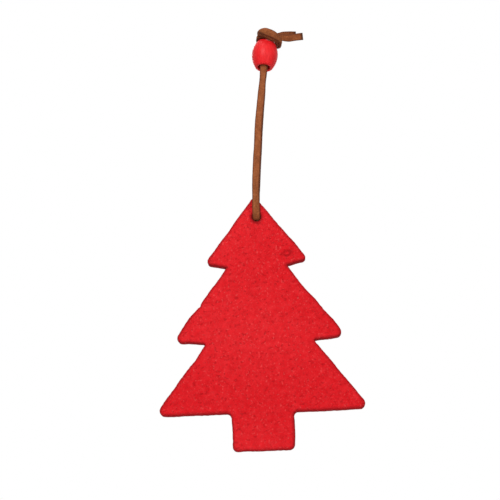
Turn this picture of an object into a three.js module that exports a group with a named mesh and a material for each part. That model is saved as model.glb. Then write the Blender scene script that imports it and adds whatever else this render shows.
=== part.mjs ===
// Felt Christmas tree ornament: a thick felt tree on a doubled suede lace,
// which runs up through a wooden bead to an overhand knot.
//
// Millimetres, +Z up. The felt lies in the XZ plane and its front faces -Y.
// The origin is where the ornament hangs: between the two strands of the lace,
// just under the bead.

import * as THREE from 'three';

// Felt tree, measured to the sharp corners, before they are rounded: heights from the
// hole, and half widths from the tree's middle. The hole is punched a little to the right.
const feltThickness = 4;
const feltEdgeRound = 0.4;
const holeRadius = 1.95;
const holeOffCentre = 0.7;
const apexHeight = 9.3;
const apexRadius = 1.9;
const treeHalfWidth = 41.8;
const tiersDrop = 78.14;
const upperTipRadius = 1.5;
const middleTipRadius = 2;
const lowerTipRadius = 2.1;
const trunkHalfWidth = 12;
const trunkFilletRadius = 1.9;
const trunkLength = 14.53;
const trunkCornerRadius = 2;

// A tier's tip and the notch under it: reach and notch are shares of the half
// width, and tip and base are shares of the drop to the lowest tier
const upperTierShares = { reach: 0.492, tip: 0.233, notch: 0.285, base: 0.258 };
const middleTierShares = { reach: 0.809, tip: 0.633, notch: 0.5095, base: 0.649 };

// Suede lace, a flat strap with worn corners
const laceWidth = 3;
const laceThickness = 1.5;
const laceChamfer = 0.3;
const laceClearance = 0.35;
const strandGap = 0.35;
const jointGap = 0.3;
const stepsPerRow = 3;
const nearRows = 3.5;

// Wooden bead
const beadRadius = 5.55;
const beadLength = 12.4;
const beadEndRadius = 3.5;
const beadEdgeRound = 0.5;
const barrelSteps = 14;
const turnedSides = 40;
const boreClearance = 0.3;
const mouthFlare = 0.35;
const hangDrop = 0.6;

// The felt's hole from the origin. The straight, doubled stretch of the lace leans
// back and to the right of the felt, by so much for each unit that it rises.
const holeAcross = -5.16;
const holeAhead = 8.5;
const holeDrop = 68.5;
const leanRight = 0.107;
const leanBack = 0.1405;
const holePlace = new THREE.Vector3(holeAcross, -holeAhead, -holeDrop);
const laceUp = new THREE.Vector3(leanRight, leanBack, 1).normalize();
const laceBack = new THREE.Vector3(0, 1, 0).projectOnPlane(laceUp).normalize();
const laceRight = new THREE.Vector3().crossVectors(laceBack, laceUp);

const strandOut = feltThickness / 2 + laceClearance + laceThickness / 2;
const strandApart = (laceThickness + strandGap) / 2;
const beadBase = hangDrop;
const beadTop = beadBase + beadLength;

// A place given along the lace: to the right, to the back and up from the origin
function onLace(right, back, up) {
  return new THREE.Vector3()
    .addScaledVector(laceRight, right)
    .addScaledVector(laceBack, back)
    .addScaledVector(laceUp, up);
}

// A strap follows rows, each with a place, the way its flat face looks there, its
// width and its thickness. The strap turns over where the facing does. Side is 0
// for a strap on the rows, and 1 or -1 for one strand of a pair that they lead,
// whose strands lie on each other and are spread sideways by the row's spread.
class StrapPath extends THREE.Curve {
  constructor(rows, side = 0) {
    super();
    this.side = side;
    this.places = new THREE.CatmullRomCurve3(rows.map((row) => row.place));
    this.facings = new THREE.CatmullRomCurve3(rows.map((row) => row.facing));
    this.sizes = new THREE.CatmullRomCurve3(
      rows.map((row) => new THREE.Vector3(row.width, row.thickness, row.spread)));
  }

  facing(t, along) {
    return this.facings.getPoint(t).projectOnPlane(along).normalize();
  }

  getPoint(t) {
    const along = this.places.getTangent(t);
    const facing = this.facing(t, along);
    const across = new THREE.Vector3().crossVectors(facing, along);
    const size = this.sizes.getPoint(t);
    return this.places.getPoint(t)
      .addScaledVector(facing, this.side * (size.y + strandGap) / 2)
      .addScaledVector(across, this.side * size.z);
  }

  // As many steps between any two rows, so that they are close where the rows are
  getSpacedPoints(steps) {
    return this.getPoints(steps);
  }

  // The frames carry the strap's width and thickness as shares of the free lace's
  computeFrenetFrames(steps) {
    const frames = { tangents: [], normals: [], binormals: [] };
    for (let i = 0; i <= steps; i += 1) {
      const t = i / steps;
      const along = this.getTangent(t);
      const facing = this.facing(t, along);
      const across = new THREE.Vector3().crossVectors(facing, along);
      const size = this.sizes.getPoint(t);
      frames.tangents.push(along);
      frames.normals.push(across.multiplyScalar(size.x / laceWidth));
      frames.binormals.push(facing.multiplyScalar(size.y / laceThickness));
    }
    return frames;
  }
}

// The lace's cross-section, across and through the strap
function laceSection() {
  const across = laceWidth / 2;
  const through = laceThickness / 2;
  return new THREE.Shape([
    new THREE.Vector2(across, through - laceChamfer),
    new THREE.Vector2(across - laceChamfer, through),
    new THREE.Vector2(laceChamfer - across, through),
    new THREE.Vector2(-across, through - laceChamfer),
    new THREE.Vector2(-across, laceChamfer - through),
    new THREE.Vector2(laceChamfer - across, -through),
    new THREE.Vector2(across - laceChamfer, -through),
    new THREE.Vector2(across, laceChamfer - through),
  ]);
}

function strap(path) {
  const steps = stepsPerRow * (path.places.points.length - 1);
  return new THREE.ExtrudeGeometry(laceSection(), { extrudePath: path, steps });
}

// Rounded outline through sharp corners, each { x, z, radius }
function roundedOutline(corners) {
  const outline = new THREE.Shape();
  corners.forEach((corner, index) => {
    const here = new THREE.Vector2(corner.x, corner.z);
    if (!corner.radius) {
      if (index === 0) outline.moveTo(here.x, here.y);
      else outline.lineTo(here.x, here.y);
      return;
    }
    const previous = corners[(index + corners.length - 1) % corners.length];
    const next = corners[(index + 1) % corners.length];
    const back = new THREE.Vector2(previous.x, previous.z).sub(here).normalize();
    const ahead = new THREE.Vector2(next.x, next.z).sub(here).normalize();
    const halfAngle = Math.acos(THREE.MathUtils.clamp(back.dot(ahead), -1, 1)) / 2;
    const trim = corner.radius / Math.tan(halfAngle);
    const start = here.clone().addScaledVector(back, trim);
    const end = here.clone().addScaledVector(ahead, trim);
    const inward = back.clone().add(ahead).normalize();
    const centre = here.clone().addScaledVector(inward, corner.radius / Math.sin(halfAngle));
    const clockwise = back.cross(ahead) > 0;
    if (index === 0) outline.moveTo(start.x, start.y);
    else outline.lineTo(start.x, start.y);
    outline.absarc(centre.x, centre.y, corner.radius,
      start.clone().sub(centre).angle(), end.clone().sub(centre).angle(), clockwise);
  });
  outline.closePath();
  return outline;
}

function tierCorners(shares, tipRadius) {
  return [
    { x: treeHalfWidth * shares.reach, z: -tiersDrop * shares.tip, radius: tipRadius },
    { x: treeHalfWidth * shares.notch, z: -tiersDrop * shares.base, radius: 0 },
  ];
}

// The right-hand half goes from the first tier's tip down to the trunk's corner
function treeCorners() {
  const half = [
    ...tierCorners(upperTierShares, upperTipRadius),
    ...tierCorners(middleTierShares, middleTipRadius),
    { x: treeHalfWidth, z: -tiersDrop, radius: lowerTipRadius },
    { x: trunkHalfWidth, z: -tiersDrop, radius: trunkFilletRadius },
    { x: trunkHalfWidth, z: -tiersDrop - trunkLength, radius: trunkCornerRadius },
  ];
  const apex = { x: 0, z: apexHeight, radius: apexRadius };
  const mirrored = half.map((corner) => ({ ...corner, x: -corner.x })).reverse();
  return [apex, ...half, ...mirrored].reverse()
    .map((corner) => ({ ...corner, x: corner.x - holeOffCentre }));
}

function feltTree() {
  const outline = roundedOutline(treeCorners());
  const hole = new THREE.Path();
  hole.absarc(0, 0, holeRadius, 0, 2 * Math.PI, true);
  outline.holes.push(hole);
  const felt = new THREE.ExtrudeGeometry(outline, {
    depth: feltThickness - 2 * feltEdgeRound,
    bevelThickness: feltEdgeRound,
    bevelSize: feltEdgeRound,
    bevelOffset: -feltEdgeRound,
    bevelSegments: 2,
    curveSegments: 8,
  });
  felt.translate(0, 0, feltEdgeRound - feltThickness / 2);
  felt.rotateX(Math.PI / 2);
  return felt;
}

// The loop goes down the felt's front, back through the hole and up behind it, as
// rows measured from the hole: a place and the facing. Above them the two strands
// lie against each other, straight up through the bead to the knot, as rows that give
// a height and how far each strand stands aside there.
const straightRows = [[-28, 0.15], [-10, 0], [beadTop - jointGap, 0]];
const loopRows = [
  [1.4, 2.42, 31, 0, -1, 0.14],
  [1.1, 1.85, 28, 0, -1, 0.2],
  [0.82, 0.95, 24, 0, -1, 0.26],
  [0.58, -0.55, 20, 0, -1, 0.36],
  [0.33, -2.05, 16, 0, -1, 0.32],
  [0.15, -2.95, 12.5, 0, -1, 0.12],
  [0.06, -strandOut, 9.5, 0, -1, 0],
  [0, -strandOut, 6, 0, -1, 0],
  [0, -strandOut, 3, 0, -1, 0],
  [0, -3, 1.65, 0, -0.95, -0.3],
  [0, -2.45, 0.68, 0, -0.6, -0.8],
  [0, -1.4, 0.12, 0, -0.25, -1],
  [0, 0, -0.15, 0, -0.1, -1],
  [0, 1.4, -0.3, 0, 0.1, -1],
  [0, 2.5, 0.1, 0, 0.6, -0.8],
  [0, 3.02, 1.2, 0, 0.95, -0.3],
  [0, strandOut, 3, 0, 1, 0],
  [0, strandOut, 6, 0, 1, 0],
  [0.1, strandOut, 9.5, 0, 1, 0],
  [0.32, 3.12, 13.5, 0, 1, 0],
  [0.62, 3.22, 18, 0, 1, -0.05],
  [0.98, 3.45, 23, 0, 1, -0.1],
  [1.36, 3.8, 28, 0, 1, -0.13],
  [1.62, 4.2, 31, 0, 1, -0.14],
];

function laceLoop() {
  const free = { width: laceWidth, thickness: laceThickness, spread: 0 };
  const rows = loopRows.map(([x, y, z, fx, fy, fz]) => ({
    place: new THREE.Vector3(x, y, z).add(holePlace),
    facing: new THREE.Vector3(fx, fy, fz),
    ...free,
  }));
  for (const [up, aside] of straightRows) {
    rows.unshift({
      place: onLace(-aside, -strandApart, up), facing: laceBack.clone().negate(), ...free,
    });
    rows.push({ place: onLace(aside, strandApart, up), facing: laceBack.clone(), ...free });
  }
  return new StrapPath(rows);
}

// The doubled lace's way through the overhand knot, measured along the lace from
// the middle of the bead's upper end: right, back, up, the facing, the pinched
// strap's width and thickness, and the spread. It comes up out of the bead, turns
// over the upper left to the front, crosses the front as the broad band, goes round
// the lower right and across the back, and comes round the left to tuck out to the
// right, behind its own band.
const knotRows = [
  [0, 0, 0, 0, -1, 0, 3, 1.5, 0],
  [0, 0, 0.7, 0, -1, 0, 2.7, 1.3, 0],
  [0.03, 0.2, 1.5, 0, -1, 0.25, 2.2, 0.9, 0],
  [0.18, 0.69, 2.23, 0, -1, 0.3, 2.1, 0.85, 0],
  [0.29, 1.03, 2.97, 0.1, -1, 0.1, 2.1, 0.85, 0],
  [0.12, 0.96, 3.83, 0.15, -1, -0.2, 2.3, 0.85, 0],
  [-0.22, 0.21, 4.63, 0.3, -0.75, -0.65, 2.6, 0.85, 0.05],
  [-0.69, -1.7, 5.03, 0.36, 0, -0.9, 2.9, 0.85, 0.1],
  [-0.8, -4.1, 4.69, 0.38, 0.4, -0.85, 3, 0.85, 0.15],
  [-0.15, -5.8, 3.45, 0.42, 0.85, -0.3, 3.1, 0.85, 0.2],
  [1.05, -6.26, 1.85, 0.15, 0.95, 0.2, 3.2, 0.85, 0.35],
  [2.74, -5.66, 0.61, -0.25, 0.9, 0.35, 3.2, 0.85, 0.45],
  [4.35, -4.28, -0.04, -0.65, 0.7, 0.25, 2.8, 0.85, 0.3],
  [5.56, -2.14, -0.21, -0.95, 0.3, 0.15, 2.3, 0.85, 0.1],
  [5.68, 0.39, -0.13, -0.97, -0.2, 0.1, 2.1, 0.85, 0],
  [4.63, 2.75, 0.55, -0.65, -0.75, 0, 2.1, 0.85, 0],
  [2.38, 4.01, 1.38, -0.2, -1, 0, 2.2, 0.85, 0],
  [0.19, 4.18, 1.61, 0.1, -1, 0, 2.2, 0.85, 0],
  [-1.6, 3.51, 1.65, 0.5, -0.9, 0, 2.2, 0.85, 0],
  [-2.65, 1.82, 1.51, 0.9, -0.45, 0, 2.1, 0.85, 0],
  [-3.1, -0.14, 1.49, 1, 0.2, 0, 2.1, 0.85, 0],
  [-2.78, -2.1, 1.42, 0.7, 0.7, 0, 2.1, 0.85, 0],
  [-1.34, -3.11, 1.51, 0.1, 1, 0, 2.1, 0.85, 0],
  [0.95, -2.93, 2.11, -0.2, 0.95, 0.1, 2.2, 0.85, -0.1],
  [3.08, -1.64, 2.69, -0.4, 0.9, 0.2, 2.2, 0.9, -0.2],
  [5.17, -0.46, 3.15, -0.3, 0.85, 0.4, 2.3, 1.1, -0.35],
  [7.21, -0.04, 3.6, -0.1, 0.8, 0.55, 2.8, 1.4, -0.55],
];
const tailRows = {
  long: [[9.5, 0.1, 3.75, 0, 0.8, 0.6, 3, 1.5, -0.6], [12.5, 0, 4.1, 0, 0.8, 0.6, 3, 1.5, -0.4],
    [15.5, 0, 4.5, 0, 0.8, 0.6, 3, 1.5, -0.25]],
  short: [[9.5, 0.1, 3.75, 0, 0.8, 0.6, 3, 1.5, -0.6], [12.6, 0, 4.1, 0, 0.8, 0.6, 3, 1.5, -0.35]],
};

// One strand of the pair; side is 1 for the strand on the side of the facing
function knottedPath(side, tail) {
  const rows = [...knotRows, ...tailRows[tail]];
  return new StrapPath(rows.map(([right, back, up, fr, fb, fu, width, thickness, spread]) => ({
    place: onLace(right, back, up + beadTop),
    facing: onLace(fr, fb, fu),
    width,
    thickness,
    spread,
  })), side);
}

// Least distance between the surfaces of two straps, measured on points round their
// sections. Where both are the same strap, rows close to each other are left out.
function leastGap(path, other) {
  const pointsRound = 24;
  const rings = [path, other].map((each) => {
    const steps = stepsPerRow * (each.places.points.length - 1);
    const section = laceSection().getSpacedPoints(pointsRound);
    const frames = each.computeFrenetFrames(steps);
    return each.getSpacedPoints(steps).map((centre, i) => section.map((point) => centre.clone()
      .addScaledVector(frames.normals[i], point.x)
      .addScaledVector(frames.binormals[i], point.y)));
  });
  let least = Infinity;
  rings[0].forEach((ring, i) => rings[1].forEach((otherRing, j) => {
    if (path === other && Math.abs(i - j) < nearRows * stepsPerRow) return;
    for (const point of ring) {
      for (const otherPoint of otherRing) least = Math.min(least, point.distanceTo(otherPoint));
    }
  }));
  return least;
}

// Turned barrel with a straight bore, flared a little at both mouths
function bead() {
  const pairCorner = Math.hypot(laceWidth / 2 - laceChamfer, strandApart + laceThickness / 2);
  const boreRadius = pairCorner + boreClearance;
  const halfLength = beadLength / 2;
  const profile = [];
  const bulge = beadRadius - beadEndRadius - beadEdgeRound;
  const shoulder = halfLength - beadEdgeRound;
  for (let i = 0; i <= barrelSteps; i += 1) {
    const up = THREE.MathUtils.lerp(-1, 1, i / barrelSteps);
    const radius = beadRadius - bulge * up * up;
    profile.push(new THREE.Vector2(radius, up * shoulder));
  }
  profile.push(new THREE.Vector2(beadEndRadius, halfLength));
  profile.push(new THREE.Vector2(boreRadius + mouthFlare, halfLength));
  profile.push(new THREE.Vector2(boreRadius, halfLength - mouthFlare));
  profile.push(new THREE.Vector2(boreRadius, mouthFlare - halfLength));
  profile.push(new THREE.Vector2(boreRadius + mouthFlare, -halfLength));
  profile.push(new THREE.Vector2(beadEndRadius, -halfLength));
  profile.push(profile[0].clone());
  const turned = new THREE.LatheGeometry(profile, turnedSides);
  turned.rotateX(Math.PI / 2);
  return turned;
}

function mesh(name, geometry, finish) {
  const made = new THREE.Mesh(geometry, new THREE.MeshStandardMaterial(finish));
  made.name = name;
  return made;
}

const redFelt = { color: 0xd82025, roughness: 0.95, metalness: 0 };
const brownSuede = { color: 0x9a5a35, roughness: 0.9, metalness: 0 };
const redPaint = { color: 0xe52e2e, roughness: 0.4, metalness: 0 };

const ornament = new THREE.Group();
ornament.name = 'felt_tree_ornament';

const tree = mesh('felt_tree', feltTree(), redFelt);
tree.position.copy(holePlace);
ornament.add(tree);

const shortEnd = knottedPath(1, 'short');
const longEnd = knottedPath(-1, 'long');
ornament.add(mesh('lace_loop', strap(laceLoop()), brownSuede));
ornament.add(mesh('lace_knot_short_end', strap(shortEnd), brownSuede));
ornament.add(mesh('lace_knot_long_end', strap(longEnd), brownSuede));

const slidingBead = mesh('bead', bead(), redPaint);
slidingBead.position.copy(onLace(0, 0, beadBase + beadLength / 2));
slidingBead.quaternion.setFromUnitVectors(new THREE.Vector3(0, 0, 1), laceUp);
ornament.add(slidingBead);

console.log('least gap of the short end to itself, mm', leastGap(shortEnd, shortEnd).toFixed(2));
console.log('least gap of the long end to itself, mm', leastGap(longEnd, longEnd).toFixed(2));
console.log('least gap between the two ends, mm', leastGap(shortEnd, longEnd).toFixed(2));

export default ornament;
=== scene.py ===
# %% [markdown]
# # A felt Christmas tree ornament
#
# The ornament is three things: a thick felt tree, one length of suede lace that is
# doubled through the tree's hole, and a painted wooden bead that both strands of the
# lace run through, under a knot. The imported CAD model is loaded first. It is the
# frame that each Blender piece is fitted to: it gives the places and the sizes, and
# it says which pieces move together.

# %% Load the frame and measure it
import math

import bmesh
import bpy
from mathutils import Euler, Matrix, Vector, noise
from mathutils.kdtree import KDTree


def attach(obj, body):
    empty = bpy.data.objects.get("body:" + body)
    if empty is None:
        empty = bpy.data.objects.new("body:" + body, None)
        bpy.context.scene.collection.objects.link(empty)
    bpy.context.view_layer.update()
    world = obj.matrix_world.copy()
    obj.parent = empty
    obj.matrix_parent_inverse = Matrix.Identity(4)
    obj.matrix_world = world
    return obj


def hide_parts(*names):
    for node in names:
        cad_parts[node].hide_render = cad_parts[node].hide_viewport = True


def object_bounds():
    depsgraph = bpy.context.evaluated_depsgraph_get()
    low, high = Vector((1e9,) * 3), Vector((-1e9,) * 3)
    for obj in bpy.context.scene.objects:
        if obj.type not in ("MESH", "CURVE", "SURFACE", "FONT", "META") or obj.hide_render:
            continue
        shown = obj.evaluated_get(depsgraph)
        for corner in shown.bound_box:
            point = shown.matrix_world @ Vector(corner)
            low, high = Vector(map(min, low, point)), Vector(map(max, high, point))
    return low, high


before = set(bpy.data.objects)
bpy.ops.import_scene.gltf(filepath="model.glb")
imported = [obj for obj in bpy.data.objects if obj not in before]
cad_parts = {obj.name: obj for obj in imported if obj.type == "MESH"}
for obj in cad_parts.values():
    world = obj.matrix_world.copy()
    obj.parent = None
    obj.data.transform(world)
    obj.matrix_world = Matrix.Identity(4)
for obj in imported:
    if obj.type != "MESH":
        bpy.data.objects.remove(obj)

cad_box = [list(corner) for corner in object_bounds()]
cad_size = [round(1000 * (high - low), 1) for low, high in zip(*cad_box)]
print("the CAD model is", cad_size, "mm")

# %% [markdown]
# ## Camera
#
# The photograph looks at the ornament from a little below and a little to its right,
# from close by: the undersides of the branches show as dark edges, and so does the
# mouth of the bead. The whole ornament leans a little to the left at the top, which
# is the camera's own tilt. A camera with a real sensor and lens, set at a real
# distance, gives the same perspective.

# %% Camera
MM = 0.001
LOOK_AT = Vector((-8.32, -8.5, -81.4)) * MM
DISTANCE = 480 * MM
AZIMUTH = math.radians(2)
ELEVATION = math.radians(-15)
TILT = math.radians(-2.1)
SENSOR_WIDTH, LENS = 36, 86.4
NEAREST_SEEN = 10 * MM

toward_camera = Vector((
    math.sin(AZIMUTH) * math.cos(ELEVATION),
    -math.cos(AZIMUTH) * math.cos(ELEVATION),
    math.sin(ELEVATION),
))
bpy.ops.object.camera_add(location=LOOK_AT + toward_camera * DISTANCE)
camera = bpy.context.object
camera.name = "camera"
camera.data.sensor_width = SENSOR_WIDTH
camera.data.lens = LENS
camera.data.clip_start = NEAREST_SEEN
camera.rotation_euler = (
    (-toward_camera).to_track_quat("-Z", "Y") @ Euler((0, 0, TILT)).to_quaternion()
).to_euler()
bpy.context.scene.camera = camera
print("the camera stands at", [round(value / MM) for value in camera.location], "mm")

# %% [markdown]
# ## The route of the lace
#
# Suede lace is a flat strap, 3 mm wide and 1.5 mm thick, cut from split hide. Here it
# is one length: from one cut end through the knot, down through the bead, down the
# front of the felt, back through the hole, and up behind to the knot and the other
# cut end. A strap is more than a line: it also has a side that faces out. So each
# point of the route is a row that gives a place, the way the flat face looks, the
# width and the thickness, and a smooth curve runs through all of them. The rows are
# the ones that the CAD model has, in millimetres. Only the knot is pulled tighter here
# than in the model, whose solids have to stay apart: its fold lies lower and further
# left, as in the photograph, and its last turn lies close on the bead.

# %% The lace's sizes, and its axes where it runs straight
HOLE = Vector((-5.16, -8.5, -68.5))
FELT_THICKNESS = 4
LACE_WIDTH = 3
LACE_THICKNESS = 1.5
LACE_CLEARANCE = 0.35
STRAND_GAP = 0.35
BEAD_BASE = 0.6
BEAD_LENGTH = 12.4
BEAD_TOP = BEAD_BASE + BEAD_LENGTH
LOOP_END = 0.3  # how far below the bead's upper end the loop's own rows stop
STRAND_OUT = FELT_THICKNESS / 2 + LACE_CLEARANCE + LACE_THICKNESS / 2
STRAND_APART = (LACE_THICKNESS + STRAND_GAP) / 2

lace_up = Vector((0.107, 0.1405, 1)).normalized()
lace_back = (Vector((0, 1, 0)) - lace_up * lace_up.y).normalized()
lace_right = lace_back.cross(lace_up)


def on_lace(right, back, up):
    """A place or direction given along the straight lace, in millimetres."""
    return lace_right * right + lace_back * back + lace_up * up


lean = math.degrees(math.acos(lace_up.z))
print(f"the lace leans {lean:.1f} degrees from upright")

# %% Rows through the felt's hole
# From the front strand to the back one: place from the hole, facing
HOLE_ROWS = [
    (1.4, 2.42, 31, 0, -1, 0.14), (1.1, 1.85, 28, 0, -1, 0.2),
    (0.82, 0.95, 24, 0, -1, 0.26), (0.58, -0.55, 20, 0, -1, 0.36),
    (0.33, -2.05, 16, 0, -1, 0.32), (0.15, -2.95, 12.5, 0, -1, 0.12),
    (0.06, -STRAND_OUT, 9.5, 0, -1, 0), (0, -STRAND_OUT, 6, 0, -1, 0),
    (0, -STRAND_OUT, 3, 0, -1, 0), (0, -3, 1.65, 0, -0.95, -0.3),
    (0, -2.45, 0.68, 0, -0.6, -0.8), (0, -1.4, 0.12, 0, -0.25, -1),
    (0, 0, -0.15, 0, -0.1, -1), (0, 1.4, -0.3, 0, 0.1, -1),
    (0, 2.5, 0.1, 0, 0.6, -0.8), (0, 3.02, 1.2, 0, 0.95, -0.3),
    (0, STRAND_OUT, 3, 0, 1, 0), (0, STRAND_OUT, 6, 0, 1, 0),
    (0.1, STRAND_OUT, 9.5, 0, 1, 0), (0.32, 3.12, 13.5, 0, 1, 0),
    (0.62, 3.22, 18, 0, 1, -0.05), (0.98, 3.45, 23, 0, 1, -0.1),
    (1.36, 3.8, 28, 0, 1, -0.13), (1.62, 4.2, 31, 0, 1, -0.14),
]
# Above them: a height, and how far each strand stands aside there
STRAIGHT_ROWS = [(-28, 0.15), (-10, 0), (BEAD_TOP - LOOP_END, 0)]
# Where the strap was pulled through the bead and the hole it stayed narrower: height,
# reach, and the share of its width that is gone
NARROWED = [(-6, 3.5, 0.13), (-59.5, 6, 0.1)]
print("the route has", len(HOLE_ROWS) + 2 * len(STRAIGHT_ROWS), "rows in its loop")

# %% [markdown]
# The knot is an overhand knot in the doubled lace. The pair rises out of the bead,
# folds over to the left and comes down across the front as a wide band. It goes round
# by the right and behind, and then tucks up between the band and its own upright part,
# so that both tails come out at the right.

# %% Rows through the knot
# The pair's way, from the bead's upper end: place, facing, width and thickness of the
# pinched strap, and how far its strands are spread sideways
KNOT_ROWS = [
    (0, 0, 0, 0, -1, 0, 3, 1.5, 0), (0, 0, 0.7, 0, -1, 0, 2.7, 1.3, 0),
    (0.03, 0.2, 1.5, 0, -1, 0.25, 2.2, 0.9, 0), (0, 0.69, 2.13, 0, -1, 0.3, 2.1, 0.8, 0),
    (-0.4, 1.03, 2.5, 0.1, -1, 0.1, 2.1, 0.75, 0),
    (-1.18, 0.96, 2.67, 0.15, -1, -0.2, 2.3, 0.7, 0),
    (-2.1, 0.3, 2.75, 0.3, -0.75, -0.65, 2.6, 0.7, 0.05),
    (-2.45, -1.7, 2.8, 0.36, 0, -0.9, 2.9, 0.7, 0.1),
    (-2.3, -4.1, 2.55, 0.38, 0.4, -0.85, 3, 0.75, 0.15),
    (-1.25, -5.8, 1.8, 0.42, 0.85, -0.3, 3.1, 0.8, 0.2),
    (0.25, -6.35, 0.95, 0.15, 0.95, 0.2, 3.2, 0.85, 0.35),
    (2.38, -5.82, 0.28, -0.25, 0.9, 0.35, 3.2, 0.85, 0.45),
    (4.28, -4.4, -0.1, -0.65, 0.7, 0.25, 2.8, 0.85, 0.3),
    (5.56, -2.14, -0.21, -0.95, 0.3, 0.15, 2.3, 0.85, 0.1),
    (5.68, 0.39, -0.13, -0.97, -0.2, 0.1, 2.1, 0.85, 0),
    (4.75, 2.83, 0.66, -0.65, -0.75, 0, 2.1, 0.85, 0),
    (2.38, 4.01, 1.25, -0.2, -1, 0, 2, 0.85, 0), (0.19, 4.18, 1.25, 0.1, -1, 0, 1.8, 0.85, 0),
    (-1.6, 3.51, 1.15, 0.5, -0.9, 0, 1.7, 0.85, 0),
    (-2.65, 1.82, 1.08, 0.9, -0.45, 0, 1.7, 0.85, 0),
    (-3.1, -0.14, 1.05, 1, 0.2, 0, 1.7, 0.85, 0),
    (-2.78, -2.1, 1.05, 0.7, 0.7, 0, 1.7, 0.85, 0),
    (-1.34, -3.11, 1.15, 0.1, 1, 0, 1.8, 0.85, 0),
    (0.95, -2.93, 2, -0.2, 0.95, 0.1, 2.2, 0.85, -0.1),
    (3.08, -1.64, 2.69, -0.4, 0.9, 0.2, 2.2, 0.9, -0.2),
    (5.17, -0.46, 3.15, -0.3, 0.85, 0.4, 2.3, 1.1, -0.35),
    (7.21, -0.04, 3.6, -0.1, 0.8, 0.55, 2.8, 1.4, -0.55),
]
LONG_TAIL = [
    (9.5, 0.1, 3.75, 0, 0.8, 0.6, 3, 1.5, -0.6), (12.5, 0, 4.1, 0, 0.8, 0.6, 3, 1.5, -0.4),
    (15.5, 0, 4.5, 0, 0.8, 0.6, 3, 1.5, -0.25),
]
SHORT_TAIL = [
    (9.5, 0.1, 3.75, 0, 0.8, 0.6, 3, 1.5, -0.6), (12.6, 0, 4.1, 0, 0.8, 0.6, 3, 1.5, -0.35),
]
# Where the pair is pulled over the knot its edges curl in: by row, how far they drop,
# in millimetres at one millimetre from the strap's middle
EDGE_CURL = {6: 0.1, 7: 0.24, 8: 0.32, 9: 0.3, 10: 0.22, 11: 0.16, 12: 0.12, 13: 0.06}
print("the route has", len(KNOT_ROWS), "rows in its knot")

# %% [markdown]
# The curve is a spline that passes through every point that it is given, which a NURBS
# curve doesn't, and it needs no handles. It is the centripetal kind, which measures the
# way between two points by the root of their distance, and so never loops between
# close ones. The two strands of the knot are one curve each: the pair's rows, moved out
# along the facing by half a strap to one side or the other.

# %% A smooth curve through rows
STEPS_PER_ROW = 12
REPEATED = 1e-4  # rows closer than this, as the root of a distance, count as one
NO_LENGTH = 1e-9


def smooth(points):
    """Points on a centripetal spline through the rows, as many between any two."""
    ends = [points[0] * 2 - points[1], *points, points[-1] * 2 - points[-2]]
    curve = []
    for p0, p1, p2, p3 in zip(ends, ends[1:], ends[2:], ends[3:]):
        d0, d1, d2 = (max((b - a).length, NO_LENGTH) ** 0.5
                      for a, b in ((p0, p1), (p1, p2), (p2, p3)))
        if d1 < REPEATED:
            d1 = 1
        d0 = d1 if d0 < REPEATED else d0
        d2 = d1 if d2 < REPEATED else d2
        slope1 = ((p1 - p0) / d0 - (p2 - p0) / (d0 + d1) + (p2 - p1) / d1) * d1
        slope2 = ((p2 - p1) / d1 - (p3 - p1) / (d1 + d2) + (p3 - p2) / d2) * d1
        bend = (p1 - p2) * 2 + slope1 + slope2
        turn = (p2 - p1) * 3 - slope1 * 2 - slope2
        for step in range(STEPS_PER_ROW):
            t = step / STEPS_PER_ROW
            curve.append(p1 + slope1 * t + turn * t * t + bend * t * t * t)
    curve.append(points[-1].copy())
    return curve


three_rows = [Vector((0, 0)), Vector((1, 0)), Vector((1, 1))]
print("a curve through 3 rows has", len(smooth(three_rows)), "points")

# %% The strands of the knot, and the loop below it


def direction(places, index):
    """The way a route runs at one of its places."""
    ahead = places[min(index + 1, len(places) - 1)]
    return (ahead - places[max(index - 1, 0)]).normalized()


def squared_up(facing, along):
    """A facing, turned square to a direction and made unit long."""
    return (facing - along * facing.dot(along)).normalized()


def knotted(side, tail):
    """One strand's way through the knot: (place, facing, width, thickness, curl) in mm."""
    rows = KNOT_ROWS + tail
    places = smooth([on_lace(right, back, up + BEAD_TOP) for right, back, up, *_ in rows])
    facings = smooth([on_lace(*row[3:6]) for row in rows])
    sizes = smooth([Vector(row[6:]) for row in rows])
    curls = smooth([Vector((EDGE_CURL.get(index, 0), 0)) for index in range(len(rows))])
    strand = []
    for index, (place, facing, size, curl) in enumerate(zip(places, facings, sizes, curls)):
        along = direction(places, index)
        facing = squared_up(facing, along)
        lift = facing * side * (size.y + STRAND_GAP) / 2
        spread = facing.cross(along) * side * size.z
        place = place + lift + spread
        strand.append((place, facing * side, size.x, size.y, curl.x * side))
    return strand


def looped():
    """The loop from the bead's upper end down, through the felt's hole and up again."""
    places = [HOLE + Vector(row[:3]) for row in HOLE_ROWS]
    facings = [Vector(row[3:]) for row in HOLE_ROWS]
    for height, aside in STRAIGHT_ROWS:
        places = [on_lace(-aside, -STRAND_APART, height), *places,
                  on_lace(aside, STRAND_APART, height)]
        facings = [-lace_back, *facings, lace_back.copy()]
    places, facings = smooth(places), smooth(facings)
    strap = []
    for index, (place, facing) in enumerate(zip(places, facings)):
        facing = squared_up(facing, direction(places, index))
        gone = sum(share * math.exp(-((place.dot(lace_up) - height) / reach) ** 2)
                   for height, reach, share in NARROWED)
        strap.append((place, facing, LACE_WIDTH * (1 - gone), LACE_THICKNESS, 0.0))
    return strap


lace_route = knotted(1, SHORT_TAIL)[::-1] + looped() + knotted(-1, LONG_TAIL)
lace_length = sum((b[0] - a[0]).length for a, b in zip(lace_route, lace_route[1:]))
print(f"the lace is {lace_length:.1f} mm long")

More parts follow.
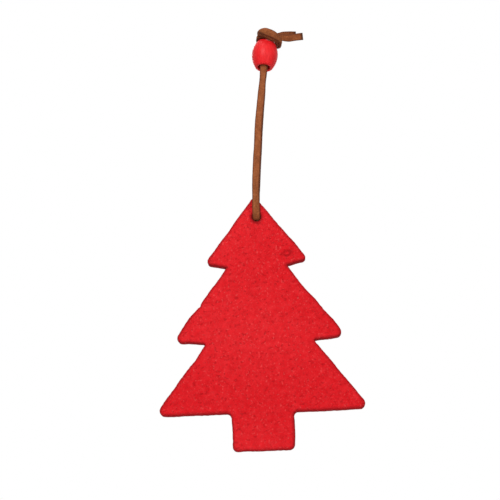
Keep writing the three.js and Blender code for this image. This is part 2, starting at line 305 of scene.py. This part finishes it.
# %% [markdown]
# ## The suede lace
#
# The strap's cross-section is a rectangle with worn corners, a little hollow on its
# flat faces, because split hide relaxes in the middle first. Rings of that section
# along the route are joined into one skin. Skinning by hand in mesh code, and not
# with a curve's bevel, lets each ring have its own width and thickness, so that the
# strap can be pinched in the knot. Its UV map runs round the strap and along it in
# real millimetres, so a grain can follow the lace through every turn.

# %% Rings of even spacing along the route
RING_SPACING = 0.35
PRESSED = 0.2  # how much the pinched, close-lying strands fill the clearance between them


def evenly(route, spacing):
    """The route again, with its rows one spacing apart."""
    reach = [0.0]
    for a, b in zip(route, route[1:]):
        reach.append(reach[-1] + (b[0] - a[0]).length)
    count = round(reach[-1] / spacing)
    made, at = [], 0
    for index in range(count + 1):
        wanted = min(reach[-1] * index / count, reach[-1] - NO_LENGTH)
        while reach[at + 1] <= wanted:
            at += 1
        share = (wanted - reach[at]) / (reach[at + 1] - reach[at])
        (place, facing, *sizes), (next_place, next_facing, *next_sizes) = route[at:at + 2]
        sizes = [a + (b - a) * share for a, b in zip(sizes, next_sizes)]
        facing = facing.lerp(next_facing, share).normalized()
        made.append((place.lerp(next_place, share), facing, *sizes, wanted))
    return made


lace_rows = evenly(lace_route, RING_SPACING)
print(len(lace_rows), "rings along the lace")

# %% The strap's cross-section
FLAT_POINTS = 9
CORNER, CORNER_LIMIT, CORNER_WORN = 0.28, 0.6, 0.3
FACE_HOLLOW, EDGE_BULGE = 0.05, 0.03


def lace_section(width, thickness):
    """Points round the strap: across it, and outward from its middle, in mm."""
    half, deep = width / 2, thickness / 2
    corner = min(CORNER, deep * CORNER_LIMIT)
    worn = corner * CORNER_WORN
    points = []
    for sign in (1, -1):
        for index in range(FLAT_POINTS):
            share = 2 * index / (FLAT_POINTS - 1) - 1
            hollow = FACE_HOLLOW * (1 - share * share)
            points.append((-share * (half - corner) * sign, (deep - hollow) * sign))
        points.append((-(half - worn) * sign, (deep - worn) * sign))
        points.append((-half * sign, (deep - corner) * sign))
        points.append((-(half + EDGE_BULGE) * sign, 0.0))
        points.append((-half * sign, -(deep - corner) * sign))
        points.append((-(half - worn) * sign, -(deep - worn) * sign))
    return points


around = len(lace_section(LACE_WIDTH, LACE_THICKNESS))
print(around, "points round the strap")

# %% [markdown]
# Suede is never quite even, so the width wanders by a few hundredths along the strap,
# and every point moves a little in or out by noise. Where the edges curl, the middle
# rises by as much as they drop on average, so that the strap stays where it was.

# %% The strap's skin
WIDTH_DRIFT, WIDTH_DRIFT_RATE, WIDTH_DRIFT_ROW = 0.035, 0.11, 3.7
ROUGHNESS = [(0.035, 1.9), (0.03, 0.7)]  # how high, and how many lumps to a millimetre


def lace_mesh(rows):
    """A closed skin round the rows, with the UV map in millimetres."""
    vertices, faces, uvs = [], [], []
    last = len(rows) - 1
    places = [row[0] for row in rows]
    for index, (place, facing, width, thickness, curl, reach) in enumerate(rows):
        along = direction(places, index)
        facing = squared_up(facing, along)
        across = facing.cross(along)
        drift = noise.noise(Vector((reach * WIDTH_DRIFT_RATE, WIDTH_DRIFT_ROW, 0)))
        width *= 1 + WIDTH_DRIFT * drift
        for side, out in lace_section(width, thickness + PRESSED):
            drop = curl * (side ** 2 - width ** 2 / 12)
            point = place + across * side + facing * (out + drop)
            rough = sum(noise.noise(point * rate) * high for high, rate in ROUGHNESS)
            away = (across * side + facing * out).normalized()
            vertices.append((point + away * rough) * MM)
    for index in range(last):
        reach, next_reach = rows[index][-1], rows[index + 1][-1]
        for corner in range(around):
            a = index * around + corner
            b = index * around + (corner + 1) % around
            faces.append((a, b, b + around, a + around))
            uvs += [(corner, reach), (corner + 1, reach),
                    (corner + 1, next_reach), (corner, next_reach)]
    start = tuple(range(around))[::-1]
    finish = tuple(last * around + corner for corner in range(around))
    faces += [start, finish]
    uvs += [(corner, -1) for corner in start]
    uvs += [(corner, rows[-1][-1] + 1) for corner in range(around)]
    mesh = bpy.data.meshes.new("suede_lace")
    mesh.from_pydata(vertices, [], faces)
    layer = mesh.uv_layers.new(name="UVMap")
    for loop, (u, v) in zip(layer.data, uvs):
        loop.uv = (u / around, v * MM)
    mesh.polygons.foreach_set("use_smooth", [True] * len(mesh.polygons))
    mesh.update()
    return mesh


lace = bpy.data.objects.new("suede_lace", lace_mesh(lace_rows))
bpy.context.collection.objects.link(lace)
print("the lace has", len(lace.data.polygons), "faces")

# %% [markdown]
# ## The felt tree
#
# Craft felt is wool or polyester fibre, matted and pressed into a sheet, and this tree
# is die-cut from sheet 4 mm thick. The die leaves straight walls and soft, slightly
# ragged edges. The outline is the CAD solid's, so the piece starts as a copy of that
# mesh. A voxel remesh turns it into an even net of small faces, fine enough for the
# surface to get felt's real, shallow lumps as geometry.

# %% Copy the CAD felt and remesh it
FELT_VOXEL = 0.42 * MM
SAME_POINT = 1e-6


def on_its_own(piece):
    """Makes a piece the only selected one, and the active one."""
    bpy.ops.object.select_all(action="DESELECT")
    piece.select_set(True)
    bpy.context.view_layer.objects.active = piece


felt = bpy.data.objects.new("felt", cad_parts["felt_tree"].data.copy())
bpy.context.collection.objects.link(felt)
felt.data.materials.clear()
on_its_own(felt)
bpy.ops.object.mode_set(mode="EDIT")
bpy.ops.mesh.select_all(action="SELECT")
bpy.ops.mesh.remove_doubles(threshold=SAME_POINT)
bpy.ops.object.mode_set(mode="OBJECT")
felt.data.remesh_voxel_size = FELT_VOXEL
bpy.ops.object.voxel_remesh()
print("the felt has", len(felt.data.polygons), "faces")

# %% [markdown]
# The cut is not quite even. The die drags fibres out, so the walls are rough, and the
# outline wanders: a branch stands out half a millimetre here, another falls short
# there, and the left edge of the middle tier has a nick. The faces near the edge go
# with it. A tree of all the wall's points tells each point which of them is nearest.

# %% The cut edge
WALL_FACING = 0.5  # a point is on a wall where its normal's y is smaller than this
RAGGED, RAGGED_RATE, RAGGED_SHIFT = 0.1, 0.9, Vector((31, 0, 7))
DRIFT, DRIFT_RATE, DRIFT_SLICE = 0.16, 0.21, 5
FOLLOW = 2.5  # how far in from a wall the faces go with it
WANDERS = [  # across, up, reach, how far out
    (-34, -110.5, 5, 0.55), (-28.9, -104, 0.7, -0.55), (-31, -125, 4, -0.4),
    (-24, -84.4, 3, 0.25), (-32, -119, 4, -0.35), (12, -97, 7, -0.35), (24, -112, 4, 0.25),
    (17, -146.8, 8, 0.3), (6, -153, 5, 0.35), (-17.5, -155, 5, -0.4), (9.5, -80.5, 3, 0.25),
]


def cut_shift(place):
    """How far out the cut stands at a place on the wall, in millimetres."""
    outline_place = Vector((place.x * DRIFT_RATE, DRIFT_SLICE, place.z * DRIFT_RATE))
    shift = (RAGGED * noise.noise(place * RAGGED_RATE + RAGGED_SHIFT)
             + DRIFT * noise.noise(outline_place))
    for across, up, reach, out in WANDERS:
        away = math.hypot(place.x - across, place.z - up) / reach
        shift += out * math.exp(-away * away)
    return shift


felt_points = felt.data.vertices
normals = [vertex.normal.copy() for vertex in felt_points]
walls = [index for index, normal in enumerate(normals) if abs(normal.y) < WALL_FACING]
wall_tree = KDTree(len(walls))
for index in walls:
    wall_tree.insert(felt_points[index].co, index)
wall_tree.balance()
nearest = [wall_tree.find(vertex.co)[1:] for vertex in felt_points]
wall_shifts = {index: normals[index] * cut_shift(felt_points[index].co / MM)
               for index in walls}
print(len(walls), "of", len(felt_points), "points of the felt are on its walls")

# %% [markdown]
# The lumps are noise at three sizes. The faces wave over about a centimetre, where the
# press left the mat denser or looser, and are pitted at one to three millimetres,
# where fibres clump. One finger-tip dent on the front, near the right tip of the top
# tier, has a raised middle, an uneven ring and a smear to its left. Two attributes are
# kept for the material, which paints shade on both: how dented a point is, and how
# close it is to the cut edge, which takes in the walls and a band about a millimetre
# wide beside them.

# %% Lumps, a dent, and where shade is painted in the dent and at the edge
LUMPS = [(0.12, 0.09), (0.06, 0.42), (0.035, 1.2)]  # height, and how many to a millimetre
DENT_X, DENT_Z, DENT_RING, DENT_WIDTH, DENT_DEPTH = 6.6, -83.8, 1.2, 0.65, 0.28
DENT_SQUASH, DENT_UNEVEN, UNEVEN_RATE = 0.8, 0.9, 0.5
SMEAR_X, SMEAR_Z, SMEAR_ACROSS, SMEAR_UP = 4.6, -84.3, 1.7, 0.6
# The band of painted shade along the cut edge: how wide it is, and its share next to the wall
EDGE_SHADE_WIDTH, EDGE_SHADE_SHARE = 1.3, 0.75


def dent_at(place):
    """How dented the felt's front is at a place, from 0 to 1."""
    out = math.hypot((place.x - DENT_X) * DENT_SQUASH, place.z - DENT_Z)
    uneven = DENT_UNEVEN * noise.noise(place * UNEVEN_RATE)
    ring = (out - DENT_RING + uneven) / DENT_WIDTH
    smear = math.hypot((place.x - SMEAR_X) / SMEAR_ACROSS, (place.z - SMEAR_Z) / SMEAR_UP)
    return max(math.exp(-ring * ring), math.exp(-smear * smear))


edge_shade, dented = [], []
for vertex, normal, (wall, distance) in zip(felt_points, normals, nearest):
    place = vertex.co / MM
    facing = abs(normal.y)
    face = sum(height * noise.noise(place * rate) for height, rate in LUMPS)
    dent = dent_at(place) if normal.y < 0 else 0
    vertex.co += normal * facing * (face - DENT_DEPTH * dent) * MM
    vertex.co += wall_shifts[wall] * max(0, 1 - distance / (FOLLOW * MM)) * MM
    # Painted shade: full on the walls, and fading over a band beside the cut edge
    edge_shade.append(max(1 - facing, EDGE_SHADE_SHARE * (1 - distance / (EDGE_SHADE_WIDTH * MM))))
    dented.append(dent)
for name, values in (("edge_shade", edge_shade), ("dented", dented)):
    kept = felt.data.attributes.new(name, "FLOAT", "POINT")
    kept.data.foreach_set("value", values)
felt.data.polygons.foreach_set("use_smooth", [True] * len(felt.data.polygons))
print(sum(share > 0.5 for share in dented), "points of the felt are dented")

# %% [markdown]
# A hole punched in felt springs back: its wall bulges in between the two faces until
# it lies against the strap, so no daylight shows beside the lace. The strap's section
# is a squared oval there, so each point of the wall moves in along its own radius,
# by the bulge or until it meets that oval.

# %% The hole closes on the strap
HOLE_REACH, HOLE_BULGE, STRAP_ROOM = 2.4, 0.7, 0.02
STRAP_HALF, STRAP_ABOVE, STRAP_BELOW = 1.51, 0.7, 1.0
SQUARENESS = 6  # an even power: 2 is an ellipse, and more is squarer
FACE_FACING = 0.7  # a point is on a face where its normal's y is larger than this
closed = 0
for vertex, normal in zip(felt_points, normals):
    across, up = vertex.co.x / MM - HOLE.x, vertex.co.z / MM - HOLE.z
    out = math.hypot(across, up)
    middle_share = 1 - (2 * (vertex.co.y / MM - HOLE.y) / FELT_THICKNESS) ** 2
    if out > HOLE_REACH or abs(normal.y) > FACE_FACING or middle_share < 0:
        continue
    deep = STRAP_ABOVE if up > 0 else STRAP_BELOW
    strap = ((across / out / STRAP_HALF) ** SQUARENESS
             + (up / out / deep) ** SQUARENESS) ** (-1 / SQUARENESS)
    wanted = max(strap + STRAP_ROOM, out - HOLE_BULGE * middle_share)
    vertex.co.x += across / out * (wanted - out) * MM
    vertex.co.z += up / out * (wanted - out) * MM
    closed += 1
felt.data.update()
print(closed, "points of the hole's wall moved in")

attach(felt, "tree")
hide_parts("felt_tree")
print("the felt measures", [round(size / MM, 1) for size in felt.dimensions], "mm")

# %% [markdown]
# ## The wooden bead
#
# The bead is a barrel turned from a birch dowel, drilled, tumbled and dipped in
# paint. It is modelled as a turner makes it: a tube, cut into rings, each ring brought
# to the barrel's radius, and the ends brought in to the bore.

# %% The bead's rings
BEAD_RADIUS = 5.55
BEAD_SHOULDER = 5.5
BEAD_BULGE = 1.5
BEAD_END_RADIUS = 3.5
BORE_RADIUS = 2.43
MOUTH_RADIUS = 2.82
MOUTH_DEPTH = 0.4
BEAD_SIDES = 64
BEAD_RINGS = 12
LEVEL_SLACK = 0.01  # how far from a ring's height a point still belongs to it


def select_ring(piece, height):
    """Selects the vertices of an edited piece that stand at a height."""
    edited = bmesh.from_edit_mesh(piece.data)
    for vertex in edited.verts:
        vertex.select_set(abs(vertex.co.z - height * MM) < LEVEL_SLACK * MM)
    edited.select_flush_mode()
    bmesh.update_edit_mesh(piece.data)


def resize_to(share):
    """Scales what is selected about the piece's own axis."""
    bpy.ops.transform.resize(value=(share, share, 1), center_override=(0, 0, 0))


bpy.ops.object.select_all(action="DESELECT")
bpy.ops.mesh.primitive_cylinder_add(
    vertices=BEAD_SIDES, radius=BEAD_RADIUS * MM, depth=2 * BEAD_SHOULDER * MM,
    end_fill_type="NOTHING")
bead = bpy.context.object
bead.name = "painted_bead"
bpy.ops.object.mode_set(mode="EDIT")
for index in range(1, BEAD_RINGS):
    height = BEAD_SHOULDER * (2 * index / BEAD_RINGS - 1)
    bpy.ops.mesh.select_all(action="SELECT")
    bpy.ops.mesh.bisect(plane_co=(0, 0, height * MM), plane_no=(0, 0, 1))
for index in range(BEAD_RINGS + 1):
    up = 2 * index / BEAD_RINGS - 1
    bpy.ops.mesh.select_mode(type="VERT")
    select_ring(bead, BEAD_SHOULDER * up)
    resize_to(1 - BEAD_BULGE * up * up / BEAD_RADIUS)
print("the barrel has", len(bmesh.from_edit_mesh(bead.data).verts), "vertices")

# %% [markdown]
# Each end is extruded from the last ring: in and up over a rounded edge, in to the
# mouth of the bore, and down its countersink. Bridging the two inner rings makes the
# bore's wall.

# %% Ends and bore
END_STEPS = [  # radius, and how far below the end's own level
    (BEAD_END_RADIUS + 0.22, 0.13), (BEAD_END_RADIUS - 0.1, 0), (MOUTH_RADIUS, 0.02),
    (BORE_RADIUS + 0.12, 0.16), (BORE_RADIUS, MOUTH_DEPTH),
]
for sign in (1, -1):
    radius, height = BEAD_RADIUS - BEAD_BULGE, sign * BEAD_SHOULDER
    select_ring(bead, height)
    for next_radius, below in END_STEPS:
        next_height = sign * (BEAD_LENGTH / 2 - below)
        bpy.ops.mesh.extrude_region_move(
            TRANSFORM_OT_translate={"value": (0, 0, (next_height - height) * MM)})
        resize_to(next_radius / radius)
        radius, height = next_radius, next_height
bpy.ops.mesh.select_all(action="DESELECT")
edited = bmesh.from_edit_mesh(bead.data)
for edge in edited.edges:
    edge.select_set(edge.is_boundary)
bmesh.update_edit_mesh(bead.data)
bpy.ops.mesh.select_mode(type="EDGE")
bpy.ops.mesh.bridge_edge_loops()
bpy.ops.mesh.select_all(action="SELECT")
bpy.ops.mesh.normals_make_consistent(inside=False)
bpy.ops.object.mode_set(mode="OBJECT")
print("the bead has", len(bead.data.polygons), "faces")

# %% Round the bead off and put it on the lace
rounding = bead.modifiers.new("rounding", "SUBSURF")
rounding.levels = rounding.render_levels = 1
on_its_own(bead)
bpy.ops.object.modifier_apply(modifier=rounding.name)
bpy.ops.object.shade_smooth()
middle = on_lace(0, 0, BEAD_BASE + BEAD_LENGTH / 2) * MM
along_lace = lace_up.to_track_quat("Z", "X").to_matrix().to_4x4()
bead.data.transform(Matrix.Translation(middle) @ along_lace)
bead.data.update()
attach(bead, "bead")
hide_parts("bead")
print("the bead's middle is", round(middle.z / MM, 1), "mm above the lace's origin")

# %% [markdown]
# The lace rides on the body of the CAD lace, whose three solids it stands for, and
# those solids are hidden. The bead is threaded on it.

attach(lace, "lace")
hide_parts("lace_loop", "lace_knot_short_end", "lace_knot_long_end")
print("the lace's path has", len(lace_rows), "points")

# %% [markdown]
# ## Materials
#
# Colours are written as sRGB hex, as a colour picker shows them, and one function
# turns them into the linear values that the shaders use. One more adds a node with
# its settings and links. Pattern sizes are written in millimetres. A mask is black
# where a colour doesn't show and white where it does.

# %% Helpers for materials


def colour(hex_value):
    """An sRGB hex colour as linear red, green, blue and alpha."""
    parts = [int(hex_value[i:i + 2], 16) / 255 for i in (1, 3, 5)]
    return [p / 12.92 if p <= 0.04045 else ((p + 0.055) / 1.055) ** 2.4 for p in parts] + [1]


def every(millimetres):
    """The scale of a pattern on Object coordinates that repeats at a real distance."""
    return 1 / (millimetres * MM)


def add_node(tree, kind, inputs=None, stops=None, **settings):
    """Adds a shader node. Inputs are values or other nodes' outputs, by name or number.

    A colour ramp's stops are its positions, each with an sRGB hex colour or a grey."""
    made = tree.nodes.new("ShaderNode" + kind)
    for name, value in settings.items():
        setattr(made, name, value)
    for name, value in (inputs or {}).items():
        if isinstance(value, bpy.types.NodeSocket):
            tree.links.new(value, made.inputs[name])
        else:
            made.inputs[name].default_value = value
    while stops and len(made.color_ramp.elements) < len(stops):
        made.color_ramp.elements.new(1)
    for number, (position, shade) in enumerate(stops or []):
        element = made.color_ramp.elements[number]
        element.position = position
        element.color = colour(shade) if isinstance(shade, str) else [shade] * 3 + [1]
    return made


def new_material(name, **sockets):
    """A material whose Principled shader has these values, and its node tree and shader."""
    made = bpy.data.materials.new(name)
    made.use_nodes = True
    shader = made.node_tree.nodes["Principled BSDF"]
    for socket, value in sockets.items():
        shader.inputs[socket.replace("_", " ")].default_value = value
    return made, made.node_tree, shader


print("half of sRGB's red is", round(colour("#800000")[0], 3), "of the linear red")

# %% [markdown]
# ### Pressed felt
#
# Felt looks matte and deep because light gets lost between its fibres, and a little
# lighter at grazing angles, where loose fibre ends catch it: that is sheen. Up close
# its red is not even. A painted shade makes it a little deeper towards the right and
# the trunk, as if less light fell there, and clumps are darker or lighter over a few
# millimetres.

# %% Red felt: its painted shade and its clumps
felt_material, tree, shader = new_material(
    "pressed_red_felt", Roughness=0.95, Sheen_Weight=0.2, Sheen_Roughness=0.5,
    Sheen_Tint=colour("#FF5A50"), Specular_IOR_Level=0.12)
place = add_node(tree, "TexCoord").outputs["Object"]
# Painted shade: a broad noise, moved so that the red is deeper towards the right and the
# trunk, as if less light fell there
moved = add_node(tree, "Mapping", {"Vector": place, "Location": (0.13, 0.0, 0.07)})
broad_shade = add_node(tree, "TexNoise", {"Vector": moved.outputs["Vector"], "Scale": every(60),
                                  "Detail": 0.5}).outputs["Fac"]
broad_shade_mask = add_node(tree, "ValToRGB", {"Fac": broad_shade}, [(0.35, 0.0), (0.65, 1.0)])
shaded_red = add_node(tree, "Mix", {0: broad_shade_mask.outputs["Color"], 6: colour("#CF0F18"),
                              7: colour("#E62A2F")}, data_type="RGBA")
clumps = add_node(tree, "TexNoise", {"Vector": place, "Scale": every(2.6), "Detail": 4.0,
                                     "Roughness": 0.65}).outputs["Fac"]
clump_tone = add_node(tree, "ValToRGB", {"Fac": clumps},
                      [(0.28, "#BE0F16"), (0.5, "#DD1D25"), (0.72, "#EC3237")])
felt_colour = add_node(tree, "Mix", {0: 0.5, 6: shaded_red.outputs[2],
                                     7: clump_tone.outputs["Color"]},
                       data_type="RGBA").outputs[2]
print("felt, dye and clumps:", len(tree.nodes), "nodes")

# %% [markdown]
# Single fibres curl across the surface as fine light lines, where a noise passes its
# middle value. Pin-sized pits get painted shade, as where light is lost, and fibre ends
# get painted glints, as where they catch it. Pits and ends are the lowest and highest
# peaks of two fine noises, so they are as uneven as real ones. A real fibre is a few
# hundredths of a millimetre thick, too fine to show, so all three are drawn as coarse
# as the photograph shows them.

# %% Masks of the felt's fibres, of its painted shade in pits and of its painted glints on fibre ends
fibres = add_node(tree, "TexNoise", {"Vector": place, "Scale": every(1.9), "Detail": 2.0,
                                     "Distortion": 1.8}).outputs["Fac"]
light_fibre = add_node(tree, "ValToRGB", {"Fac": fibres},
                       [(0.48, 0.0), (0.5, 1.0), (0.52, 0.0)]).outputs["Color"]
pits = add_node(tree, "TexNoise", {"Vector": place, "Scale": every(1.2),
                                   "Detail": 1.5}).outputs["Fac"]
# Painted shade in the pits
pit = add_node(tree, "ValToRGB", {"Fac": pits}, [(0.31, 1.0), (0.4, 0.0)]).outputs["Color"]
moved = add_node(tree, "Mapping", {"Vector": place, "Location": (0.005, 0.003, 0.007)})
ends = add_node(tree, "TexNoise", {"Vector": moved.outputs["Vector"], "Scale": every(0.85),
                                   "Detail": 1.0}).outputs["Fac"]
# Painted glints on the fibre ends
fibre_end_glint = add_node(tree, "ValToRGB", {"Fac": ends},
                     [(0.62, 0.0), (0.74, 1.0)]).outputs["Color"]
print("felt, with its fibres and pits:", len(tree.nodes), "nodes")

# %% [markdown]
# Painted shade darkens the dent, the walls and a band along the cut edge. The masks
# lay their colours over the felt's one after another, each turned down to its share.

# %% Painted shade in the felt's dent and at its edge, and its finished colour
# Painted shade in the dent, broken up by the clumps
dents = add_node(tree, "Attribute", attribute_name="dented").outputs["Fac"]
dents = add_node(tree, "Math", {0: dents, 1: clumps}, operation="MULTIPLY").outputs[0]
dent_shade_mask = add_node(tree, "ValToRGB", {"Fac": dents},
                     [(0.15, 0.0), (0.6, 0.9)]).outputs["Color"]
# Painted shade on the walls and along the cut edge
shaded_edge = add_node(tree, "Attribute", attribute_name="edge_shade").outputs["Fac"]
edge_shade_mask = add_node(tree, "ValToRGB", {"Fac": shaded_edge}, [(0.05, 0.0), (0.7, 1.0)]).outputs["Color"]
# Layers: light fibres, painted shade in pits, painted glints on fibre ends, painted shade in
# the dent and at the edge
for mask, share, hex_value in (
        (light_fibre, 0.22, "#F4555A"), (pit, 0.48, "#A30B13"), (fibre_end_glint, 0.23, "#F87470"),
        (dent_shade_mask, 1.0, "#A00A12"), (edge_shade_mask, 1.0, "#980E15")):
    factor = add_node(tree, "Math", {0: mask, 1: share}, operation="MULTIPLY").outputs[0]
    felt_colour = add_node(tree, "Mix", {0: factor, 6: felt_colour, 7: colour(hex_value)},
                           data_type="RGBA").outputs[2]
tree.links.new(felt_colour, shader.inputs["Base Color"])
felt_height = add_node(tree, "Math", {0: clumps, 1: light_fibre}, operation="ADD").outputs[0]
felt_height = add_node(tree, "Math", {0: felt_height, 1: pit}, operation="SUBTRACT").outputs[0]
felt_bump = add_node(tree, "Bump", {"Height": felt_height, "Distance": 0.12 * MM,
                                    "Strength": 0.6})
tree.links.new(felt_bump.outputs["Normal"], shader.inputs["Normal"])
felt.data.materials.append(felt_material)
print("felt, finished:", len(tree.nodes), "nodes")

# %% [markdown]
# ### Suede lace
#
# Suede is the inner side of split leather, brushed to a nap. Its colour runs in short
# streaks along the strap, because it is cut along the hide, and the cut edges are
# darker than the faces. The UV map gives both: across the strap for the edges, and
# along it for the streaks. The nap's own hairs are too fine to show, so it is drawn in
# tufts of about half a millimetre.

# %% Brown suede: its streaks and its nap
suede, tree, shader = new_material(
    "brushed_brown_suede", Roughness=0.88, Sheen_Weight=0.15, Sheen_Roughness=0.45,
    Sheen_Tint=colour("#E0A080"), Specular_IOR_Level=0.15)
uv = add_node(tree, "UVMap", uv_map="UVMap").outputs["UV"]
streaky = add_node(tree, "Mapping", {"Vector": uv, "Scale": (3.0, every(4), 1.0)})
streaks = add_node(tree, "TexNoise", {"Vector": streaky.outputs["Vector"], "Scale": 1.0,
                                      "Detail": 3.0}).outputs["Fac"]
streak_tone = add_node(tree, "ValToRGB", {"Fac": streaks},
                       [(0.3, "#6F391D"), (0.5, "#8E4D28"), (0.7, "#A25F38")])
place = add_node(tree, "TexCoord").outputs["Object"]
nap = add_node(tree, "TexNoise", {"Vector": place, "Scale": every(0.6),
                                  "Detail": 3.0}).outputs["Fac"]
nap_tone = add_node(tree, "ValToRGB", {"Fac": nap}, [(0.3, "#6A361A"), (0.7, "#AA663E")])
suede_colour = add_node(tree, "Mix", {0: 0.4, 6: streak_tone.outputs["Color"],
                                      7: nap_tone.outputs["Color"]},
                        data_type="RGBA").outputs[2]
print("suede, streaks and nap:", len(tree.nodes), "nodes")

# %% [markdown]
# Round the strap the UV map runs twice over a flat face and then over a cut edge, so
# the share of it left by a doubled u tells the two apart. The last millimetre before
# each cut end is drawn dark.

# %% The strap's cut edges and ends
DARK, NOT_DARK = 0.5, 1.3  # how far from a cut end the dark is full, and gone
u_and_v = add_node(tree, "SeparateXYZ", {0: uv}).outputs
doubled = add_node(tree, "Math", {0: u_and_v["X"], 1: 2.0}, operation="MULTIPLY").outputs[0]
around_share = add_node(tree, "Math", {0: doubled}, operation="FRACT").outputs[0]
cut_side = add_node(tree, "ValToRGB", {"Fac": around_share},
                    [(0.0, 0.7), (0.07, 0.0), (0.5, 0.0), (0.6, 1.0)]).outputs["Color"]
from_start = add_node(tree, "MapRange", {
    0: u_and_v["Y"], 1: DARK * MM, 2: NOT_DARK * MM, 3: 1.0, 4: 0.0}).outputs[0]
from_finish = add_node(tree, "MapRange", {
    0: u_and_v["Y"], 1: (lace_length - NOT_DARK) * MM, 2: (lace_length - DARK) * MM,
    3: 0.0, 4: 1.0}).outputs[0]
cut_end = add_node(tree, "Math", {0: from_start, 1: from_finish},
                   operation="MAXIMUM").outputs[0]
for mask, share, hex_value in ((cut_side, 1.0, "#6A3820"), (cut_end, 0.8, "#3E2015")):
    factor = add_node(tree, "Math", {0: mask, 1: share}, operation="MULTIPLY").outputs[0]
    suede_colour = add_node(tree, "Mix", {0: factor, 6: suede_colour, 7: colour(hex_value)},
                            data_type="RGBA").outputs[2]
tree.links.new(suede_colour, shader.inputs["Base Color"])
nap_bump = add_node(tree, "Bump", {"Height": nap, "Distance": 0.08 * MM, "Strength": 0.7})
tree.links.new(nap_bump.outputs["Normal"], shader.inputs["Normal"])
lace.data.materials.append(suede)
print("suede, finished:", len(tree.nodes), "nodes")

# %% [markdown]
# ### Painted wood
#
# The paint is a thin, satin dip: it hides the wood's colour but not quite its grain,
# which shows as a faint unevenness of the gloss. Birch pores are finer than the picture
# shows, so the grain is drawn a little over half a millimetre wide.

# %% Red paint
paint, tree, shader = new_material(
    "satin_red_paint_on_wood", Roughness=0.45, Coat_Weight=0.05, Coat_Roughness=0.3,
    IOR=1.45, Specular_IOR_Level=0.2)
place = add_node(tree, "TexCoord").outputs["Object"]
along_grain = add_node(tree, "Mapping", {
    "Vector": place, "Scale": (every(0.6), every(0.6), every(6))})
grain = add_node(tree, "TexNoise", {"Vector": along_grain.outputs["Vector"], "Scale": 1.0,
                                    "Detail": 2.0}).outputs["Fac"]
grain_tone = add_node(tree, "ValToRGB", {"Fac": grain}, [(0.3, "#DC161C"), (0.7, "#EA2529")])
tree.links.new(grain_tone.outputs["Color"], shader.inputs["Base Color"])
grain_bump = add_node(tree, "Bump", {"Height": grain, "Distance": 0.03 * MM, "Strength": 0.4})
tree.links.new(grain_bump.outputs["Normal"], shader.inputs["Normal"])
bead.data.materials.append(paint)
print("paint:", len(tree.nodes), "nodes")

# %% [markdown]
# ## Light and background
#
# The picture is a cut-out on white, lit softly from above and in front, so the
# undersides of the branches are dark. Three large, soft lamps and a weak even world do
# that, and a fourth lamp behind lights the back. The white comes from the world as the
# camera sees it, which adds no light.

# %% World


def seen_directly(tree):
    """1 for the camera's rays and for those that show a reflection or go through glass."""
    rays = add_node(tree, "LightPath").outputs
    seen = add_node(tree, "Math", {0: rays["Is Camera Ray"], 1: rays["Is Glossy Ray"]},
                    operation="MAXIMUM")
    return add_node(tree, "Math", {0: seen.outputs[0], 1: rays["Is Transmission Ray"]},
                    operation="MAXIMUM").outputs[0]


world = bpy.data.worlds.new("studio")
bpy.context.scene.world = world
world.use_nodes = True
tree = world.node_tree
tree.nodes.clear()
ambient = add_node(tree, "Background", {"Color": colour("#FFFFFF"), "Strength": 0.12})
white = add_node(tree, "Background", {"Color": colour("#FFFFFF"), "Strength": 1.0})
both = add_node(tree, "MixShader", {
    0: seen_directly(tree), 1: ambient.outputs[0], 2: white.outputs[0]})
add_node(tree, "OutputWorld", {"Surface": both.outputs[0]})
print("world:", len(tree.nodes), "nodes")

# %% Lamps


def soft_lamp(name, place, size, power):
    """A square area lamp at a place in millimetres, aimed at the middle of the ornament."""
    bpy.ops.object.light_add(type="AREA", location=Vector(place) * MM)
    lamp = bpy.context.object
    lamp.name = name
    lamp.data.size = size * MM
    lamp.data.energy = power
    lamp.rotation_euler = (LOOK_AT - lamp.location).to_track_quat("-Z", "Y").to_euler()


soft_lamp("key", (-220, -920, 460), 450, 7)
soft_lamp("fill", (500, -800, 100), 600, 2.3)
soft_lamp("top", (0, -100, 700), 500, 2)
soft_lamp("back", (-150, 950, 250), 600, 7)

# %% [markdown]
# The pale floor is far below, because the ornament hangs. Seen directly, a good half of
# its paleness is its own, as with the white of the world, so it stays pale where the
# lamps don't reach, adds no light and keeps the ornament's shadow.

# %% Floor
FLOOR, FLOOR_SIZE = -320, 4000
OWN_PALENESS = 0.6
bpy.ops.mesh.primitive_plane_add(size=FLOOR_SIZE * MM, location=(0, 0, FLOOR * MM))
floor = bpy.context.object
floor.name = "floor"
bpy.ops.object.transform_apply(location=True)
floor_colour = colour("#EDEDED")
floor_paint, tree, shader = new_material("pale_floor", Roughness=0.9,
                                         Base_Color=floor_colour)
paleness = add_node(tree, "Emission", {"Color": floor_colour, "Strength": 1.0})
paleness_share = add_node(tree, "Math", {0: seen_directly(tree), 1: OWN_PALENESS},
                          operation="MULTIPLY")
floor_look = add_node(tree, "MixShader", {
    0: paleness_share.outputs[0], 1: shader.outputs[0], 2: paleness.outputs[0]})
tree.links.new(floor_look.outputs[0], tree.nodes["Material Output"].inputs["Surface"])
floor.data.materials.append(floor_paint)
bpy.context.scene.view_settings.view_transform = "Standard"
print("the floor is", -FLOOR, "mm below the lace's origin")
